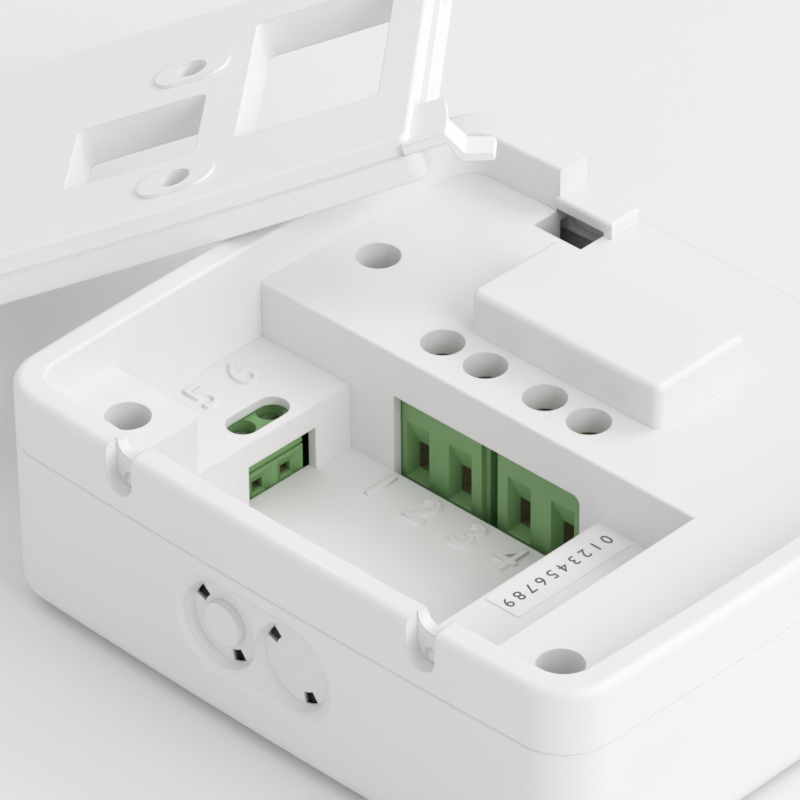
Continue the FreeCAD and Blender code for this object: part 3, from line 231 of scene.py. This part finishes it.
@dataclass(frozen=True)
class SolderMask:
    """Green lacquer on a board, with darker copper tracks under it."""

    name: str = "solder_mask"
    lacquer: Colour = (0.035, 0.19, 0.07)
    track: Colour = (0.05, 0.27, 0.1)

    def make(self) -> bpy.types.Material:
        """Builds the material.

        Returns:
            The finished material.
        """
        finish = Finish(self.name)
        cells = finish.nodes.new("ShaderNodeTexBrick")
        cells.inputs["Scale"].default_value = 190.0
        cells.inputs["Mortar Size"].default_value = 0.06
        cells.inputs["Color1"].default_value = (0.0, 0.0, 0.0, 1.0)
        cells.inputs["Color2"].default_value = (0.15, 0.15, 0.15, 1.0)
        cells.inputs["Mortar"].default_value = (1.0, 1.0, 1.0, 1.0)
        finish.links.new(finish.coords.outputs["Object"], cells.inputs["Vector"])
        finish.blend_colours(cells.outputs["Color"], self.lacquer, self.track)
        wave = finish.noise(160.0)
        finish.vary_roughness(wave.outputs["Fac"], 0.24, 0.36)
        finish.relief(cells.outputs["Fac"], 0.02 * MM, 0.0)
        return finish.material


@dataclass(frozen=True)
class PrintedSleeve:
    """A shrunk film with soft bands along its height."""

    name: str
    colour: Colour
    band: Colour
    bands: float = 180.0

    def make(self) -> bpy.types.Material:
        """Builds the material.

        Returns:
            The finished material.
        """
        finish = Finish(self.name)
        wave = finish.nodes.new("ShaderNodeTexWave")
        wave.bands_direction = "Z"
        wave.inputs["Scale"].default_value = self.bands
        wave.inputs["Distortion"].default_value = 0.6
        finish.links.new(finish.coords.outputs["Object"], wave.inputs["Vector"])
        finish.blend_colours(wave.outputs["Fac"], self.band, self.colour)
        ripple = finish.noise(700.0)
        finish.vary_roughness(ripple.outputs["Fac"], 0.22, 0.34)
        finish.relief(ripple.outputs["Fac"], 0.01 * MM, 0.1 * MM)
        return finish.material


@dataclass(frozen=True)
class ClearRod:
    """Clear moulded plastic that carries light."""

    name: str = "clear_rod"

    def make(self) -> bpy.types.Material:
        """Builds the material.

        Returns:
            The finished material.
        """
        finish = Finish(self.name)
        haze = finish.noise(600.0)
        finish.blend_colours(haze.outputs["Fac"], (0.78, 0.84, 0.84), (0.9, 0.94, 0.94))
        finish.vary_roughness(haze.outputs["Fac"], 0.12, 0.2)
        finish.shader.inputs["Transmission Weight"].default_value = 0.6
        finish.shader.inputs["IOR"].default_value = 1.49
        return finish.material


@dataclass
class Palette:
    """Every finish of the receiver, made once and shared."""

    made: dict[str, bpy.types.Material] = field(default_factory=dict)

    def fill(self) -> None:
        """Makes all the materials."""
        finishes = [
            MouldedPlastic("case_plastic", (0.87, 0.862, 0.862), shade=0.02),
            MouldedPlastic("plate_plastic", (0.93, 0.925, 0.925), shade=0.015),
            MouldedPlastic("button_plastic", (0.84, 0.835, 0.835), shade=0.02),
            MouldedPlastic("terminal_green", (0.222, 0.415, 0.168), shade=0.1,
                           roughness=(0.36, 0.46), grain=3400.0, edge=0.12 * MM),
            MouldedPlastic("component_black", (0.03, 0.03, 0.033), shade=0.2,
                           roughness=(0.38, 0.5), edge=0.12 * MM),
            MouldedPlastic("relay_case", (0.035, 0.035, 0.04), shade=0.15,
                           roughness=(0.3, 0.4), edge=0.15 * MM),
            MouldedPlastic("ferrite_grey", (0.07, 0.07, 0.075), shade=0.25,
                           roughness=(0.55, 0.7), grain=1500.0, depth=0.03 * MM),
            MouldedPlastic("varistor_blue", (0.03, 0.08, 0.3), shade=0.12,
                           roughness=(0.28, 0.36), edge=0.2 * MM),
            MouldedPlastic("label_film", (0.9, 0.895, 0.89), shade=0.01,
                           roughness=(0.2, 0.28), grain=900.0, depth=0.006 * MM,
                           edge=0.0, specular=0.5),
            MouldedPlastic("label_ink", (0.16, 0.16, 0.16), shade=0.4,
                           roughness=(0.5, 0.7), grain=1800.0, edge=0.0),
            PlatedMetal("zinc_plate", (0.74, 0.74, 0.71), (0.58, 0.58, 0.55)),
            PlatedMetal("cage_brass", (0.72, 0.65, 0.46), (0.54, 0.48, 0.34),
                        roughness=(0.34, 0.5), metallic=0.8),
            PlatedMetal("tinned_copper", (0.74, 0.72, 0.66), (0.56, 0.52, 0.43)),
            PlatedMetal("shield_can", (0.72, 0.72, 0.7), (0.58, 0.58, 0.56),
                        stretch=(1.0, 10.0, 1.0)),
            SolderMask(),
            PrintedSleeve("capacitor_sleeve", (0.05, 0.06, 0.16), (0.16, 0.17, 0.3)),
            PrintedSleeve("winding_tape", (0.72, 0.5, 0.08), (0.62, 0.4, 0.05), 260.0),
            PrintedSleeve("film_case", (0.7, 0.52, 0.12), (0.66, 0.48, 0.1), 90.0),
            ClearRod(),
        ]
        for finish in finishes:
            self.made[finish.name] = finish.make()

    def dress(self, piece: bpy.types.Object, finish: str) -> None:
        """Gives a piece one finish all over.

        Args:
            piece: The mesh object.
            finish: The finish's name.
        """
        piece.data.materials.clear()
        piece.data.materials.append(self.made[finish])


NODE_FINISHES: dict[str, str] = {
    "rear_housing": "case_plastic",
    "front_cover": "case_plastic",
    "wall_plate": "plate_plastic",
    "serial_label": "label_film",
    "case_screws": "zinc_plate",
    "board_screws": "zinc_plate",
    "circuit_board": "solder_mask",
    "power_relay": "relay_case",
    "relay_pins": "tinned_copper",
    "transformer_core": "ferrite_grey",
    "transformer_winding": "winding_tape",
    "transformer_feet": "component_black",
    "bulk_capacitors": "capacitor_sleeve",
    "filter_capacitor": "film_case",
    "varistor": "varistor_blue",
    "board_fuse": "component_black",
    "bridge_rectifier": "component_black",
    "microcontroller": "component_black",
    "clock_crystal": "shield_can",
    "radio_board": "solder_mask",
    "radio_shield": "shield_can",
    "wire_aerial": "component_black",
    "push_button": "button_plastic",
    "switch_housing": "component_black",
    "switch_plunger": "component_black",
    "status_leds": "label_film",
    "light_rods": "clear_rod",
    "relay_terminal_body": "terminal_green",
    "mains_terminal_body": "terminal_green",
    "bus_terminal_body": "terminal_green",
    "relay_terminal_contacts": "tinned_copper",
    "mains_terminal_contacts": "tinned_copper",
    "bus_terminal_contacts": "tinned_copper",
}
NODE_FINISHES |= {f"terminal_screw_{i}": "zinc_plate" for i in range(1, 7)}
NODE_FINISHES |= {f"clamp_cage_{i}": "cage_brass" for i in range(1, 7)}


def lettering(name: str, text: str, at: Point, reading: Reading, size: float,
              relief: float, bevel: float = 0.0) -> bpy.types.Object:
    """Sets a row of characters and turns it into a solid mesh.

    Args:
        name: The piece's name.
        text: The characters.
        at: The middle of the row's foot.
        reading: Which way the row runs.
        size: The type size.
        relief: Half of the characters' thickness.
        bevel: The round on their edges, or 0 for none.

    Returns:
        The finished mesh piece, at the origin.
    """
    deselect_all()
    bpy.ops.object.text_add(location=at, rotation=(0.0, 0.0, reading.value))
    row = bpy.context.object
    row.name = name
    row.data.body = text
    row.data.align_x = "CENTER"
    row.data.size = size
    row.data.extrude = relief
    row.data.bevel_depth = bevel
    row.data.bevel_resolution = 1 if bevel else 0
    bpy.ops.object.convert(target="MESH")
    return settle(bpy.context.object)


@dataclass
class RaisedNumbers:
    """Low raised numbers moulded beside the terminals."""

    palette: Palette
    height: float = 5.2 * MM
    cap_height: float = 0.7
    relief: float = 0.34 * MM
    bevel: float = 0.06 * MM
    weld: float = 0.001 * MM
    floor: float = 8.55 * MM
    floor_y: float = -5.9 * MM
    floor_x: tuple[float, ...] = (-21.0 * MM, -13.2 * MM, -5.4 * MM, 1.4 * MM)
    step: float = 18.5 * MM
    step_x: float = -39.2 * MM
    step_y: tuple[float, ...] = (-14.8 * MM, -7.8 * MM)

    def write(self, name: str, text: str, at: Point, reading: Reading) -> None:
        """Moulds one number on a floor.

        Args:
            name: The piece's name.
            text: The number.
            at: The middle of its foot, on the floor.
            reading: Which way its row runs.
        """
        size = self.height / self.cap_height
        piece = lettering(name, text, at, reading, size, self.relief, self.bevel)
        bpy.context.view_layer.objects.active = piece
        piece.select_set(True)
        bpy.ops.object.mode_set(mode="EDIT")
        bpy.ops.mesh.select_all(action="SELECT")
        bpy.ops.mesh.remove_doubles(threshold=self.weld)
        bpy.ops.mesh.normals_make_consistent(inside=False)
        bpy.ops.object.mode_set(mode="OBJECT")
        deselect_all()
        self.palette.dress(piece, "case_plastic")
        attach(piece, "receiver")

    def build(self) -> None:
        """Moulds the numbers of all six poles."""
        for number, x in enumerate(self.floor_x, start=1):
            at = (x, self.floor_y, self.floor)
            self.write(f"floor_number_{number}", str(number), at, Reading.ALONG_X)
        for number, y in enumerate(self.step_y, start=len(self.floor_x) + 1):
            at = (self.step_x, y, self.step)
            self.write(f"step_number_{number}", str(number), at, Reading.ALONG_Y)
        log.info("raised numbers: %d", len(self.floor_x) + len(self.step_y))


@dataclass
class NumberLabel:
    """The printed row of plain numbers on the white label."""

    palette: Palette
    text: str = "0 1 2 3 4 5 6 7 8 9"
    size: float = 2.55 * MM
    half_height: float = 0.35
    ink: float = 0.012 * MM

    def build(self) -> None:
        """Prints the numbers on the label."""
        low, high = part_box("serial_label")
        middle = (low + high) / 2
        at = (middle.x - self.half_height * self.size, middle.y, high.z + self.ink)
        piece = lettering("label_numbers", self.text, at, Reading.AGAINST_Y, self.size, self.ink)
        self.palette.dress(piece, "label_ink")
        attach(piece, "receiver")
        log.info("label printed")


@dataclass
class Studio:
    """The floor, the soft light and the camera at the photograph's angle."""

    camera_at: Point = (0.416379, -0.448621, 0.463959)
    camera_right: Point = (0.719845, 0.694095, -0.007460)
    camera_up: Point = (-0.396600, 0.420087, 0.816232)
    lens: float = 270.0
    sensor: float = 36.0
    floor_size: float = 6.0
    floor_drop: float = 0.2 * MM
    aim_at: Point = (0.0, 0.0, 0.02)
    sky: float = 0.66
    sky_colour: Colour = (1.0, 0.98, 0.986)
    lamps: dict[str, tuple[Point, float]] = field(default_factory=lambda: {
        "side_lamp": ((1.229, 0.0, 0.86), 6.5),
        "back_lamp": ((0.448, 0.961, 1.061), 4.8),
        "fill_lamp": ((-0.964, 0.0, 1.149), 1.1),
    })

    def floor(self) -> None:
        """Lays the pale floor that keeps the object's shadow."""
        deselect_all()
        place = (0.0, 0.0, -self.floor_drop)
        bpy.ops.mesh.primitive_plane_add(size=self.floor_size, location=place)
        plane = bpy.context.object
        plane.name = "studio_floor"
        finish = Finish("pale_floor")
        finish.shader.inputs["Roughness"].default_value = 0.9
        finish.shader.inputs["Specular IOR Level"].default_value = 0.1
        cloud = finish.noise(3.0)
        finish.blend_colours(cloud.outputs["Fac"], (0.86, 0.86, 0.86), (0.87, 0.87, 0.87))
        plane.data.materials.append(finish.material)

    def world(self) -> None:
        """Fills the sky with an even pale light."""
        world = bpy.data.worlds.new("studio_sky")
        bpy.context.scene.world = world
        world.use_nodes = True
        back = world.node_tree.nodes["Background"]
        back.inputs["Color"].default_value = (*self.sky_colour, 1.0)
        back.inputs["Strength"].default_value = self.sky

    def lamp(self, name: str, at: Point, power: float, size: float = 0.8) -> None:
        """Hangs one large soft lamp that faces the object.

        Args:
            name: The lamp's name.
            at: Its place.
            power: Its power in watts.
            size: Its width.
        """
        data = bpy.data.lights.new(name, "AREA")
        data.shape = "DISK"
        data.size = size
        data.energy = power
        lamp = bpy.data.objects.new(name, data)
        bpy.context.scene.collection.objects.link(lamp)
        lamp.location = at
        aim = Vector(self.aim_at) - Vector(at)
        lamp.rotation_euler = aim.to_track_quat("-Z", "Y").to_euler()

    def camera(self) -> None:
        """Sets the camera where the photograph was taken from."""
        data = bpy.data.cameras.new("photo_camera")
        data.lens = self.lens
        data.sensor_width = self.sensor
        data.clip_start = 0.01
        camera = bpy.data.objects.new("photo_camera", data)
        bpy.context.scene.collection.objects.link(camera)
        right = Vector(self.camera_right).normalized()
        up = Vector(self.camera_up).normalized()
        back = right.cross(up)
        turn = Matrix((right, up, back)).transposed().to_4x4()
        camera.matrix_world = Matrix.Translation(Vector(self.camera_at)) @ turn
        bpy.context.scene.camera = camera

    def build(self) -> None:
        """Sets the whole studio up."""
        self.floor()
        self.world()
        for name, (at, power) in self.lamps.items():
            self.lamp(name, at, power)
        self.camera()
        bpy.context.scene.view_settings.view_transform = "Standard"
        log.info("studio ready")


def main() -> None:
    """Builds every piece in order."""
    logging.basicConfig(level=logging.INFO)
    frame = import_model()
    palette = Palette()
    palette.fill()
    for name, node in frame["nodes"].items():
        palette.dress(node, NODE_FINISHES[name])
    log.info("dressed %d solids", len(frame["nodes"]))
    RaisedNumbers(palette).build()
    NumberLabel(palette).build()
    Studio().build()


if __name__ == "__main__":
    main()
